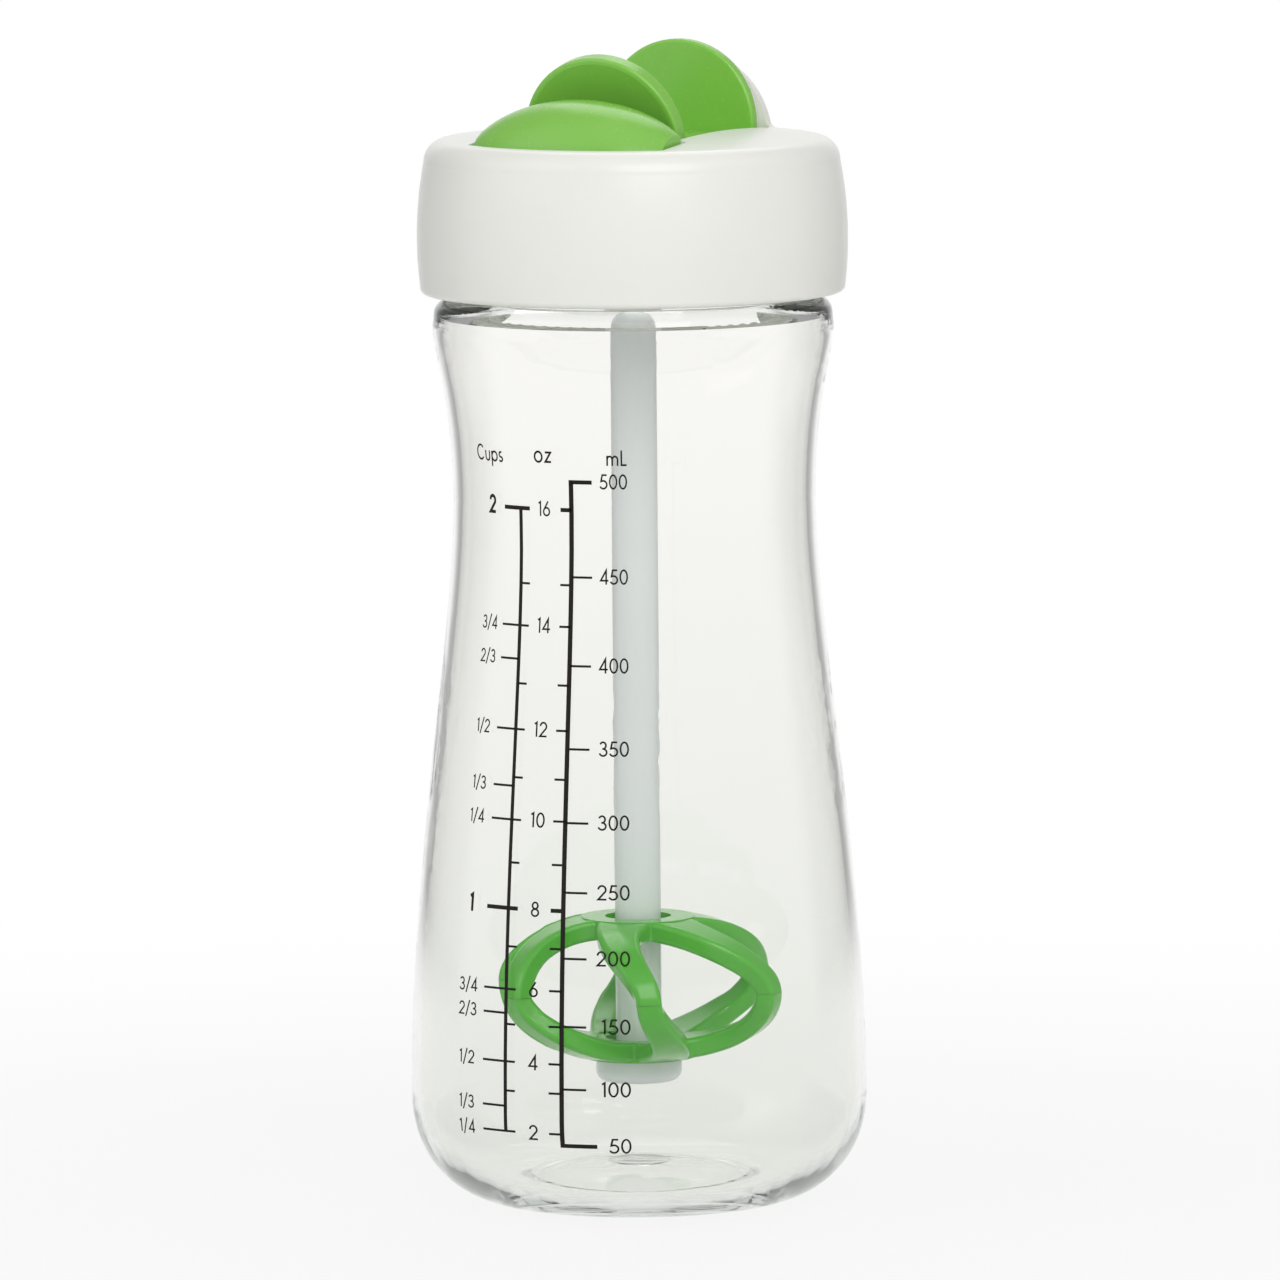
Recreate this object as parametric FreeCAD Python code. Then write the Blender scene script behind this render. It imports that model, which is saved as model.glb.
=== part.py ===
import FreeCAD, Part
import math
import os

from FreeCAD import Placement, Rotation, Vector

# Salad dressing shaker bottle, in millimetres.
# The origin is the centre of the base, +Z is up and the spout is on the +X side.
# A height named rise, length, drop, depth or sink is counted from the piece that carries it, so
# that what stands above a changed size moves with it.

# Bottle
base_radius = 22.0
foot_ring_width = 3.0
belly_radius = 40.0
belly_height = 19.0
waist_rise = 105.0
waist_depth = 3.4
bead_rise = 30.0
bead_width = 0.2
collar_rise = 2.4
collar_length = 3.0
ledge_width = 3.7
neck_radius = 31.2
neck_wall = 2.0
neck_length = 12.1
bottle_wall = 1.6
base_thickness = 2.6
shoulder_thickness = 3.4
push_up = 3.4
gate_mark_radius = 5.2
gate_mark_depth = 0.6
corner_handle_share = 0.58
round_handle_share = 0.5523
belly_handle_share = 0.39
waist_lower_handle_share = 0.22
waist_upper_handle_share = 0.58
bead_handle_share = 0.16
neck_step_share = 0.5

# Screw thread, right-handed
thread_lead = 4.0
thread_height = 1.1
thread_root_width = 2.0
thread_crest_width = 1.0
thread_turns = 1.5
thread_clearance = 0.35
thread_rise = 4.4

# Cap gasket
gasket_thickness = 1.5
gasket_overhang = 0.3

# Cap liner
liner_wall = 1.8
liner_plate = 1.8
liner_lift = 0.6
socket_wall = 0.85
socket_length = 17.3

# Cap cover
cap_gap = 0.6
cover_gap = 0.3
cover_low_wall = 2.45
cover_barrel_bulge = 0.45
cover_barrel_rise = 7.5
cover_draft = 0.8
cover_top_rise = 8.4
cover_rim_inset = 3.2
cover_rim_rise = 3.8
cover_crown_rise = 2.0
cover_shell = 2.4
cover_rim_handle_share = 0.5
cover_low_edge = 1.4

# Recess for the lever in the top of the cover
recess_margin = 0.8
recess_side_margin = 15.9
recess_shoulder = 2.3
recess_front_length = 15.9
recess_deep_length = 12.5
recess_floor = 2.0
shallow_depth = 3.8
tub_wall = 2.0

# Spout hood and pour duct
hood_setback = 11.7
hood_depth = 11.0
hood_side_gap = 0.3
hood_sink = 1.8
hood_wall = 2.4
hood_fillet = 1.5
sill_thickness = 1.6
sill_rise = 0.4
throat_length = 4.4
duct_length = 17.5
duct_half = 9.0
duct_wall = 1.8

# Lever, hinge pin and seal
lever_gap = 0.6
pad_front_gap = 0.9
pivot_setback = 4.0
pivot_drop = 1.6
pin_radius = 1.5
pin_running_gap = 0.06
pin_end_gap = 0.2
barrel_wall = 1.7
deck_gap = 1.0
deck_thickness = 3.0
pad_setback = 3.2
pad_drop = 3.0
pad_half_length = 12.0
pad_side_reach = 4.8
pad_rise = 14.6
pad_plate = 2.6
pad_skirt = 0.8
pad_edge = 1.0
pad_tie_length = 9.9
fin_inset = 1.1
fin_setback = 2.2
fin_lift = 0.5
fin_thickness = 3.2
fin_dish = 1.5
fin_edge = 0.5
fin_lean_deg = 13.0
flap_inset = 1.5
flap_rise = 3.2
flap_thickness = 2.2
flap_edge = 0.5
seal_thickness = 0.8
seal_gap = 0.2
seal_inset = 0.4

# Mixing tube and its foot
tube_radius = 4.05
tube_wall = 1.2
tube_running_gap = 0.08
tube_top_gap = 0.4
tube_flange_width = 1.95
tube_flange_thickness = 0.8
tube_flange_gap = 0.2
foot_clearance = 15.0
foot_width = 3.5
foot_height = 4.1
foot_edge = 2.0
spigot_length = 9.0
spigot_gap = 0.05

# Mixing head, two equal halves
head_gap = 0.2
head_half_height = 12.4
head_clearance = 2.2
hub_play = 1.75
hub_width = 4.2
hub_height = 3.4
arm_count = 6
arm_first_deg = 30.0
arm_width = 4.4
arm_thickness = 3.6
arm_corner = 0.9
arm_root_width = 10.5
arm_swirl_deg = 21.0
arm_roundness = 1.75
arm_flare_power = 2.2
arm_root_share = 0.72
arm_section_shares = (0.0, 0.2, 0.4, 0.58, 0.72, 0.86, 1.0)
seam_gap = 0.06
peg_radius = 0.8
peg_length = 1.6
peg_gap = 0.1

# Reach of the cutting shapes past a face, and the slack when edges are picked by their place
overrun = 1.0
pick_slack = 0.05

AXIS_Z = Vector(0, 0, 1)
ORIGIN = Vector(0, 0, 0)

# Bottle sizes that follow
waist_height = belly_height + waist_rise
bead_height = waist_height + bead_rise
collar_height = bead_height + collar_rise
ledge_height = collar_height + collar_length
shoulder_roof = ledge_height - shoulder_thickness
mouth_height = ledge_height + neck_length
collar_radius = neck_radius + ledge_width
bead_radius = collar_radius + bead_width
waist_radius = bead_radius - waist_depth
mouth_bore = neck_radius - neck_wall
inner_floor = push_up + base_thickness
thread_start = ledge_height + thread_rise
thread_crest = neck_radius + thread_height

# Cap sizes that follow
liner_bore = thread_crest + thread_clearance
liner_radius = liner_bore + liner_wall
cap_bottom = ledge_height + cap_gap
liner_bottom = cap_bottom + liner_lift
plate_bottom = mouth_height + gasket_thickness
plate_top = plate_bottom + liner_plate
cover_bore = liner_radius + cover_gap
cover_low_radius = cover_bore + cover_low_wall
cover_barrel_radius = cover_low_radius + cover_barrel_bulge
cover_barrel_height = cap_bottom + cover_barrel_rise
cover_top_radius = cover_low_radius - cover_draft
cover_top_height = plate_top + cover_top_rise
cover_rim_radius = cover_top_radius - cover_rim_inset
cover_rim_height = cover_top_height + cover_rim_rise
cover_crown_height = cover_rim_height + cover_crown_rise
recess_radius = cover_rim_radius - recess_margin
recess_half = recess_radius - recess_side_margin
recess_wide_half = recess_half + recess_shoulder
recess_step = recess_front_length - recess_radius
recess_deep_end = recess_step + recess_deep_length
deep_floor_height = plate_top + recess_floor
shallow_floor_height = cover_rim_height - shallow_depth
mouth_plane = cover_rim_radius - hood_setback
hood_radius = recess_half - hood_side_gap
hood_base_height = cover_rim_height - hood_sink
sill_height = hood_base_height + sill_rise
duct_end = mouth_plane + sill_thickness + throat_length
duct_start = duct_end - duct_length

# Lever sizes that follow
lever_half = recess_half - lever_gap
deck_bottom = shallow_floor_height + deck_gap
deck_top = deck_bottom + deck_thickness
pivot_x = recess_step + pivot_setback
pivot_height = deck_bottom - pivot_drop
barrel_radius = pin_radius + barrel_wall
pad_half = recess_wide_half - lever_gap
pad_radius = recess_radius - pad_front_gap
pad_end = recess_step - lever_gap
pad_bottom = deck_bottom - pad_skirt
pad_centre_x = pad_end - pad_setback
pad_centre_height = pad_bottom - pad_drop
pad_half_width = pad_half + pad_side_reach
pad_deck_start = pad_end - pad_tie_length
fin_radius = lever_half - fin_inset
fin_base_x = pivot_x + fin_setback
fin_base_height = deck_top + fin_lift
flap_radius = hood_radius - flap_inset
flap_centre_height = hood_base_height + flap_rise
flap_back = mouth_plane - seal_gap - seal_thickness
flap_front = flap_back - flap_thickness

# Tube and mixing head sizes that follow
socket_end = plate_bottom - socket_length
socket_bore = tube_radius + tube_running_gap
socket_radius = socket_bore + socket_wall
tube_top = plate_bottom - tube_top_gap
tube_flange_radius = tube_radius + tube_flange_width
flange_top = socket_end - tube_flange_gap
foot_radius = tube_radius + foot_width
foot_top = inner_floor + foot_clearance + foot_height
head_low = foot_top + head_gap
head_middle = head_low + head_half_height
head_radius = mouth_bore - head_clearance
hub_bore = tube_radius + hub_play
hub_radius = hub_bore + hub_width


def at(radius, height):
    """Return the point of a profile at a radius and a height."""
    return Vector(radius, 0, height)


def line(first, last):
    """Return the straight edge between two points."""
    return Part.LineSegment(first, last).toShape()


def chain(*points):
    """Return the straight edges that join the points in order."""
    return [line(first, last) for first, last in zip(points, points[1:])]


def bezier(*poles):
    """Return the Bezier edge with these poles."""
    curve = Part.BezierCurve()
    curve.setPoles(list(poles))
    return curve.toShape()


def arc(first, middle, last):
    """Return the arc edge through three points."""
    return Part.Arc(first, middle, last).toShape()


def revolve(edges):
    """Return the solid swept by a closed profile about the vertical axis."""
    return Part.Face(Part.Wire(edges)).revolve(ORIGIN, AXIS_Z, 360)


def box(low, high):
    """Return the box between two opposite corners."""
    size = high - low
    return Part.makeBox(size.x, size.y, size.z, low)


def disc(radius, bottom, top):
    """Return an upright cylinder on the vertical axis."""
    return Part.makeCylinder(radius, top - bottom, Vector(0, 0, bottom))


def ring(inner, outer, bottom, top):
    """Return an upright tube on the vertical axis."""
    return disc(outer, bottom, top).cut(disc(inner, bottom - overrun, top + overrun))


def ellipsoid(centre, half_x, half_y, half_z):
    """Return an ellipsoid with its axes along X, Y and Z."""
    matrix = FreeCAD.Matrix()
    matrix.scale(half_x, half_y, half_z)
    body = Part.makeSphere(1).transformGeometry(matrix)
    body.translate(centre)
    return body


def half_spheroid(centre, depth, radius):
    """Return the half of a spheroid about the X direction that lies beyond its centre."""
    edges = [
        bezier(
            at(0, radius),
            at(depth * round_handle_share, radius),
            at(depth, radius * round_handle_share),
            at(depth, 0),
        ),
        *chain(at(depth, 0), ORIGIN, at(0, radius)),
    ]
    body = Part.Face(Part.Wire(edges)).revolve(ORIGIN, Vector(1, 0, 0), 360)
    body.translate(centre)
    return body


def cross_cylinder(radius, half_length, x, height):
    """Return a cylinder along Y, centred on the middle plane."""
    length = half_length + half_length
    return Part.makeCylinder(radius, length, Vector(x, -half_length, height), Vector(0, 1, 0))


def thread_ridge(radius, outward, start):
    """Return a helical ridge on a cylinder.

    radius is the cylinder's, outward is 1 for a ridge that points away from the axis and -1 for
    one that points to it, and start is the height of the ridge's first end.
    """
    root = radius - outward * thread_clearance
    crest = radius + outward * thread_height
    profile = Part.makePolygon([
        at(root, start - thread_root_width / 2),
        at(crest, start - thread_crest_width / 2),
        at(crest, start + thread_crest_width / 2),
        at(root, start + thread_root_width / 2),
        at(root, start - thread_root_width / 2),
    ])
    spine = Part.makeHelix(thread_lead, thread_lead * thread_turns, radius)
    spine.translate(Vector(0, 0, start))
    return Part.Wire(spine).makePipeShell([profile], True, True)


def bottle_side(inset):
    """Return the edges of the bottle's side from the belly to the bead, moved in by inset."""
    belly = belly_radius - inset
    waist = waist_radius - inset
    bead = bead_radius - inset
    flank = waist_height - belly_height
    flare = bead_height - waist_height
    return [
        bezier(
            at(belly, belly_height),
            at(belly, belly_height + flank * belly_handle_share),
            at(waist, waist_height - flank * waist_lower_handle_share),
            at(waist, waist_height),
        ),
        bezier(
            at(waist, waist_height),
            at(waist, waist_height + flare * waist_upper_handle_share),
            at(bead, bead_height - flare * bead_handle_share),
            at(bead, bead_height),
        ),
    ]


def base_corner(inset, foot):
    """Return the rounded edge from the base to the belly, moved in by inset."""
    belly = belly_radius - inset
    reach = belly - base_radius
    rise = belly_height - foot
    return bezier(
        at(base_radius, foot),
        at(base_radius + reach * corner_handle_share, foot),
        at(belly, belly_height - rise * corner_handle_share),
        at(belly, belly_height),
    )


def make_bottle():
    """Return the clear bottle with its thread."""
    ring_inner = base_radius - foot_ring_width
    step = (collar_height - bead_height) * neck_step_share
    side_inner = bead_radius - bottle_wall
    outer = [
        arc(at(-ring_inner, 0), at(0, push_up), at(ring_inner, 0)),
        line(at(ring_inner, 0), at(base_radius, 0)),
        base_corner(0, 0),
        *bottle_side(0),
        bezier(
            at(bead_radius, bead_height),
            at(bead_radius, bead_height + step),
            at(collar_radius, collar_height - step),
            at(collar_radius, collar_height),
        ),
        bezier(
            at(collar_radius, collar_height),
            at(collar_radius, collar_height + collar_length * round_handle_share),
            at(neck_radius + ledge_width * round_handle_share, ledge_height),
            at(neck_radius, ledge_height),
        ),
        *chain(
            at(neck_radius, ledge_height),
            at(neck_radius, mouth_height),
            at(0, mouth_height),
        ),
    ]
    push_arc = outer[0].Curve
    outer[0] = Part.Edge(push_arc, push_arc.parameter(at(0, push_up)), push_arc.parameter(at(ring_inner, 0)))
    outer.append(line(at(0, mouth_height), at(0, push_up)))
    inner = [
        bezier(
            at(0, inner_floor),
            at(ring_inner * corner_handle_share, inner_floor),
            at(ring_inner, base_thickness),
            at(base_radius, base_thickness),
        ),
        base_corner(bottle_wall, base_thickness),
        *bottle_side(bottle_wall),
        *chain(
            at(side_inner, bead_height),
            at(side_inner, shoulder_roof),
            at(mouth_bore, shoulder_roof),
            at(mouth_bore, mouth_height + overrun),
            at(0, mouth_height + overrun),
            at(0, inner_floor),
        ),
    ]
    body = revolve(outer)
    body = body.fuse(thread_ridge(neck_radius, 1, thread_start))
    body = body.cut(revolve(inner))
    body = body.cut(disc(gate_mark_radius, 0, push_up + gate_mark_depth))
    return body.removeSplitter()


def make_gasket():
    """Return the flat sealing ring on the bottle's mouth."""
    inner = mouth_bore - gasket_overhang
    outer = liner_bore - gasket_overhang
    return ring(inner, outer, mouth_height, plate_bottom)


def duct_box(grow, bottom, top, start, end):
    """Return a box of the pour duct, grown sideways by grow."""
    half = duct_half + grow
    return box(Vector(start - grow, -half, bottom), Vector(end + grow, half, top))


def make_liner():
    """Return the threaded liner of the cap with the tube's socket."""
    body = ring(liner_bore, liner_radius, liner_bottom, plate_top)
    body = body.fuse(disc(liner_radius, plate_bottom, plate_top))
    body = body.fuse(disc(socket_radius, socket_end, plate_top))
    ridge_start = thread_start - thread_lead / 2
    body = body.fuse(thread_ridge(liner_bore, -1, ridge_start))
    body = body.cut(disc(socket_bore, socket_end - overrun, plate_bottom))
    body = body.cut(duct_box(0, plate_bottom - overrun, plate_top + overrun, duct_start, duct_end))
    return body.removeSplitter()


def recess_tub(grow, deep_floor, shallow_floor, top):
    """Return the space of the lever's recess, grown sideways by grow."""
    wide = recess_wide_half + grow
    half = recess_half + grow
    reach = recess_radius + grow
    front = box(Vector(-reach - overrun, -wide, deep_floor), Vector(recess_step + grow, wide, top))
    front = front.common(disc(reach, deep_floor, top))
    middle = box(Vector(recess_step, -half, deep_floor), Vector(recess_deep_end + grow, half, top))
    rear = box(Vector(recess_step, -half, shallow_floor), Vector(mouth_plane, half, top))
    return front.fuse([middle, rear]).removeSplitter()


def cover_profile():
    """Return the closed outer profile of the cap cover."""
    lower = cap_bottom + cover_low_edge
    slope = (cover_crown_height - cover_rim_height) / (cover_rim_radius / 2)
    rim_handle = (cover_top_radius - cover_rim_radius) * cover_rim_handle_share
    return [
        line(at(0, cap_bottom), at(cover_low_radius - cover_low_edge, cap_bottom)),
        bezier(
            at(cover_low_radius - cover_low_edge, cap_bottom),
            at(cover_low_radius, cap_bottom),
            at(cover_low_radius, lower),
        ),
        arc(at(cover_low_radius, lower), at(cover_barrel_radius, cover_barrel_height),
            at(cover_top_radius, cover_top_height)),
        bezier(
            at(cover_top_radius, cover_top_height),
            at(cover_top_radius, (cover_top_height + cover_rim_height) / 2),
            at(cover_rim_radius + rim_handle, cover_rim_height - slope * rim_handle),
            at(cover_rim_radius, cover_rim_height),
        ),
        bezier(
            at(cover_rim_radius, cover_rim_height),
            at(cover_rim_radius / 2, cover_crown_height),
            at(0, cover_crown_height),
        ),
        line(at(0, cover_crown_height), at(0, cap_bottom)),
    ]


def cavity_profile():
    """Return the closed profile of the space inside the cap cover."""
    low = cap_bottom - overrun
    shell_top = cover_crown_height - cover_shell
    rim_top = cover_rim_height - cover_shell
    return [
        *chain(at(0, low), at(cover_bore, low), at(cover_bore, cover_top_height - cover_shell),
               at(cover_rim_radius, rim_top)),
        bezier(at(cover_rim_radius, rim_top), at(cover_rim_radius / 2, shell_top), at(0, shell_top)),
        line(at(0, shell_top), at(0, low)),
    ]


def hood_seam(body):
    """Return the edges where the hood meets the top of the cover."""
    high = hood_base_height + hood_radius / 2
    return [edge for edge in body.Edges
            if edge.BoundBox.XMin > mouth_plane - pick_slack
            and edge.BoundBox.ZMin > cover_top_height and edge.BoundBox.ZMax < high]


def make_cover():
    """Return the outer shell of the cap with the recess, hood and duct."""
    tub_top = cover_crown_height + overrun
    shallow_bottom = shallow_floor_height - recess_floor
    hood_top = hood_base_height + hood_radius
    hood_centre = Vector(mouth_plane, 0, hood_base_height)
    hood = half_spheroid(hood_centre, hood_depth, hood_radius)
    hood = hood.common(disc(cover_top_radius, cover_top_height, hood_top))
    hollow = half_spheroid(hood_centre, hood_depth - hood_wall, hood_radius - hood_wall)
    hollow = hollow.common(box(
        Vector(mouth_plane, -hood_radius, sill_height),
        Vector(mouth_plane + hood_depth, hood_radius, hood_top),
    ))

    body = revolve(cover_profile()).fuse(hood)
    body = body.makeFillet(hood_fillet, hood_seam(body))
    walls = recess_tub(tub_wall, plate_top, shallow_bottom, tub_top)
    walls = walls.fuse([
        duct_box(duct_wall, plate_top, tub_top, duct_start, duct_end),
        box(Vector(mouth_plane, -hood_radius, shallow_bottom),
            Vector(mouth_plane + sill_thickness, hood_radius, tub_top)),
    ])
    cavity = revolve(cavity_profile()).cut(walls.common(disc(cover_bore, plate_top, tub_top)))
    body = body.cut(cavity)
    body = body.cut(recess_tub(0, deep_floor_height, shallow_floor_height, tub_top))
    body = body.cut(hollow)
    body = body.cut(duct_box(0, plate_top - overrun, shallow_bottom, duct_start, duct_end))
    throat_start = mouth_plane + sill_thickness
    body = body.cut(duct_box(0, deep_floor_height, hood_base_height, throat_start, duct_end))
    body = body.cut(cross_cylinder(pin_radius, recess_half + tub_wall, pivot_x, pivot_height))
    return body.removeSplitter()


def make_pin():
    """Return the lever's hinge pin."""
    return cross_cylinder(pin_radius, recess_half + tub_wall - pin_end_gap, pivot_x, pivot_height)


def arch(radius, centre_height, bottom, front, back):
    """Return an upright plate across the lever with a half-round top."""
    outline = [
        *chain(Vector(front, radius, centre_height), Vector(front, radius, bottom),
               Vector(front, -radius, bottom), Vector(front, -radius, centre_height)),
        arc(Vector(front, -radius, centre_height), Vector(front, 0, centre_height + radius),
            Vector(front, radius, centre_height)),
    ]
    return Part.Face(Part.Wire(outline)).extrude(Vector(back - front, 0, 0))


def round_edges(body):
    """Return the edges of a plate across the lever that lie on its round rim."""
    return [edge for edge in body.Edges if isinstance(edge.Curve, Part.Circle)]


def make_pad():
    """Return the hollow thumb pad of the lever."""
    centre = Vector(pad_centre_x, 0, pad_centre_height)
    outer = ellipsoid(centre, pad_half_length, pad_half_width, pad_rise)
    inner = ellipsoid(centre, pad_half_length - pad_plate, pad_half_width - pad_plate, pad_rise - pad_plate)
    top = pad_centre_height + pad_rise
    plan = box(Vector(-pad_radius, -pad_half, pad_bottom), Vector(pad_end, pad_half, top))
    plan = plan.common(disc(pad_radius, pad_bottom, top))
    pad = outer.common(plan)
    crest_height = pad_centre_height + pad_rise / 2
    crest = [edge for edge in pad.Edges
             if edge.BoundBox.XLength < pick_slack and edge.BoundBox.ZMax > crest_height]
    pad = pad.makeFillet(pad_edge, crest).cut(inner)
    tie = box(Vector(pad_deck_start, -lever_half, deck_bottom), Vector(pad_end, lever_half, deck_top))
    return pad.fuse(tie.common(outer))


def make_fin():
    """Return the leaning, dished finger fin of the lever."""
    half = fin_thickness / 2
    plate = Part.makeCylinder(fin_radius, fin_thickness, Vector(-half, 0, 0), Vector(1, 0, 0))
    plate = plate.makeFillet(fin_edge, round_edges(plate))
    dish_edge = fin_radius - fin_edge - fin_edge
    dish_radius = (dish_edge ** 2 + fin_dish ** 2) / (fin_dish + fin_dish)
    plate = plate.cut(Part.makeSphere(dish_radius, Vector(fin_dish - half - dish_radius, 0, 0)))
    plate.Placement = Placement(
        Vector(fin_base_x, 0, fin_base_height), Rotation(Vector(0, 1, 0), -fin_lean_deg)
    )
    keep = box(
        Vector(pad_end - fin_radius, -fin_radius, deck_bottom),
        Vector(fin_base_x + fin_radius, fin_radius, fin_base_height + fin_radius),
    )
    return plate.common(keep)


def make_lever():
    """Return the one-piece green lever."""
    flap = arch(flap_radius, flap_centre_height, deck_bottom, flap_front, flap_back)
    flap = flap.makeFillet(flap_edge, round_edges(flap))
    deck = box(Vector(pad_end - overrun, -lever_half, deck_bottom), Vector(flap_back, lever_half, deck_top))
    barrel = cross_cylinder(barrel_radius, lever_half, pivot_x, pivot_height)
    body = deck.fuse([make_pad(), make_fin(), flap, barrel])
    pin_hole = cross_cylinder(pin_radius + pin_running_gap, lever_half + overrun, pivot_x, pivot_height)
    body = body.cut(pin_hole)
    return body.removeSplitter()


def make_seal():
    """Return the soft pad on the back of the flap."""
    radius = flap_radius - seal_inset
    return arch(radius, flap_centre_height, deck_bottom + seal_inset, flap_back, flap_back + seal_thickness)


def make_tube():
    """Return the mixing tube with its flange."""
    flange_bottom = flange_top - tube_flange_thickness
    body = disc(tube_radius, foot_top, tube_top)
    body = body.fuse(disc(tube_flange_radius, flange_bottom, flange_top))
    body = body.cut(disc(tube_radius - tube_wall, foot_top - overrun, tube_top - tube_wall))
    return body.removeSplitter()


def make_foot():
    """Return the round foot that plugs into the tube's lower end."""
    body = disc(foot_radius, foot_top - foot_height, foot_top)
    lower = [edge for edge in body.Edges
             if isinstance(edge.Curve, Part.Circle) and edge.CenterOfMass.z < foot_top - foot_height / 2]
    body = body.makeFillet(foot_edge, lower)
    spigot = disc(tube_radius - tube_wall - spigot_gap, foot_top - foot_height / 2, foot_top + spigot_length)
    return body.fuse(spigot).removeSplitter()


def arm_point(share):
    """Return the place, dome normal and swirl of an arm's middle line, from hub (0) to rim (1)."""
    turn = share * math.pi / 2
    power = 2 / arm_roundness
    root = hub_radius * arm_root_share
    reach = head_radius - arm_thickness / 2 - root
    rise = head_half_height - arm_thickness / 2
    out = math.sin(turn) ** power
    up = math.cos(turn) ** power
    swirl = math.radians(arm_first_deg - arm_swirl_deg * math.cos(turn) ** 2)
    radius = root + reach * out
    place = Vector(radius * math.cos(swirl), radius * math.sin(swirl), rise * up)
    slope_out = out ** (arm_roundness - 1) / reach
    slope_up = up ** (arm_roundness - 1) / rise
    normal = Vector(slope_out * math.cos(swirl), slope_out * math.sin(swirl), slope_up)
    return place, normal.normalize()


def arm_section(share):
    """Return the rounded rectangle of an arm at a share of its middle line."""
    small_share = 0.001
    place, normal = arm_point(share)
    before = arm_point(max(share - small_share, 0.0))[0]
    after = arm_point(min(share + small_share, 1.0))[0]
    along = (after - before).normalize()
    across = along.cross(normal).normalize()
    normal = across.cross(along).normalize()
    half_width = (arm_width + (arm_root_width - arm_width) * (1 - share) ** arm_flare_power) / 2
    half_thick = arm_thickness / 2
    inner_width = half_width - arm_corner
    inner_thick = half_thick - arm_corner
    bulge = arm_corner * math.sqrt(2) / 2

    def corner(side, face, reach_across, reach_normal):
        wide = side * (inner_width + reach_across)
        thick = face * (inner_thick + reach_normal)
        return place + across * wide + normal * thick

    edges = []
    order = ((1, 1), (-1, 1), (-1, -1), (1, -1))
    for index, (side, face) in enumerate(order):
        next_side, next_face = order[(index + 1) % len(order)]
        by_side = corner(side, face, arm_corner, 0)
        by_face = corner(side, face, 0, arm_corner)
        first, last = (by_side, by_face) if side == face else (by_face, by_side)
        edges.append(arc(first, corner(side, face, bulge, bulge), last))
        next_by_side = corner(next_side, next_face, arm_corner, 0)
        next_by_face = corner(next_side, next_face, 0, arm_corner)
        edges.append(line(last, next_by_side if next_side == next_face else next_by_face))
    return Part.Wire(edges)


def make_head_half():
    """Return the upper half of the mixing head, its parting plane at zero height."""
    arm = Part.makeLoft([arm_section(share) for share in arm_section_shares], True, False)
    step = 360 / arm_count
    arms = [arm.copy().rotate(ORIGIN, AXIS_Z, index * step) for index in range(arm_count)]
    hub_low = head_half_height - hub_height
    hub = disc(hub_radius, hub_low, head_half_height)
    body = hub.fuse(arms).common(ring(hub_bore, head_radius + overrun, 0, head_half_height))
    peg_reach = head_radius - arm_thickness / 2
    for index in range(arm_count):
        turn = math.radians(arm_first_deg + index * step)
        place = Vector(peg_reach * math.cos(turn), peg_reach * math.sin(turn), 0)
        if index % 2:
            hole = Part.makeCylinder(peg_radius + peg_gap, peg_length + peg_gap + seam_gap, place)
            body = body.cut(hole)
        else:
            foot = place - Vector(0, 0, peg_length)
            body = body.fuse(Part.makeCylinder(peg_radius, peg_length + peg_length, foot))
    return body.removeSplitter()


def make_head():
    """Return the upper and lower halves of the mixing head in place."""
    half = make_head_half()
    upper = half.copy()
    upper.translate(Vector(0, 0, head_middle + seam_gap / 2))
    lower = half.copy()
    lower.rotate(ORIGIN, Vector(1, 0, 0), 180)
    lower.translate(Vector(0, 0, head_middle - seam_gap / 2))
    return upper, lower


def main():
    """Build every piece and write one file for each."""
    whisk_upper, whisk_lower = make_head()
    pieces = {
        "bottle": make_bottle(),
        "cap_gasket": make_gasket(),
        "cap_base": make_liner(),
        "cap_cover": make_cover(),
        "spout_lever": make_lever(),
        "lever_pin": make_pin(),
        "spout_seal": make_seal(),
        "mixing_tube": make_tube(),
        "tube_foot": make_foot(),
        "whisk_upper": whisk_upper,
        "whisk_lower": whisk_lower,
    }
    os.makedirs("parts", exist_ok=True)
    for name, shape in pieces.items():
        shape.exportStep(f"parts/{name}.step")
        print(name, len(shape.Solids), shape.isValid(), round(shape.Volume, 1))


main()
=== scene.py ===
"""Looks of the salad dressing shaker bottle: finishes, printed volume scale and plain studio."""

import logging
import math
from dataclasses import dataclass, field
from enum import Enum

import bpy
from mathutils import Matrix, Vector


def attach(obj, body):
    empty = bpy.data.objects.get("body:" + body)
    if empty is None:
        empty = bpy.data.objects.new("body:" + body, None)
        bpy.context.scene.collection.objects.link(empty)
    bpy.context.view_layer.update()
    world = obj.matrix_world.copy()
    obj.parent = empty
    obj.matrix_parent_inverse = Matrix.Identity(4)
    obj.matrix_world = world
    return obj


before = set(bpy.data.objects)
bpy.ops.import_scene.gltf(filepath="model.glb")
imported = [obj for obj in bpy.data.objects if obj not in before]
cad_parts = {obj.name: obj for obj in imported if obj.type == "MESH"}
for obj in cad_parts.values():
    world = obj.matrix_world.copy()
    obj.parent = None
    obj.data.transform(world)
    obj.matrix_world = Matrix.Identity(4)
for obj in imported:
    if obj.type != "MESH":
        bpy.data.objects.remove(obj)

log = logging.getLogger("shaker_bottle")
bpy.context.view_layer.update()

MILLIMETRE = 0.001
CAP_HEIGHT = 2.62
ARC_STEP = 15.0
SAME_POINT = 1e-6
MERGE_DISTANCE = 1e-5
Colour = tuple[float, float, float, float]
Point = tuple[float, float]


class Body(Enum):
    """The frame's bodies that the new pieces ride on."""

    BOTTLE = "bottle"


class Align(Enum):
    """Which part of a label stands on its column's angle."""

    MIDDLE = "middle"
    RIGHT = "right"


class Weight(Enum):
    """The two stroke weights of the printed scale."""

    PLAIN = "plain"
    BOLD = "bold"


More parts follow.
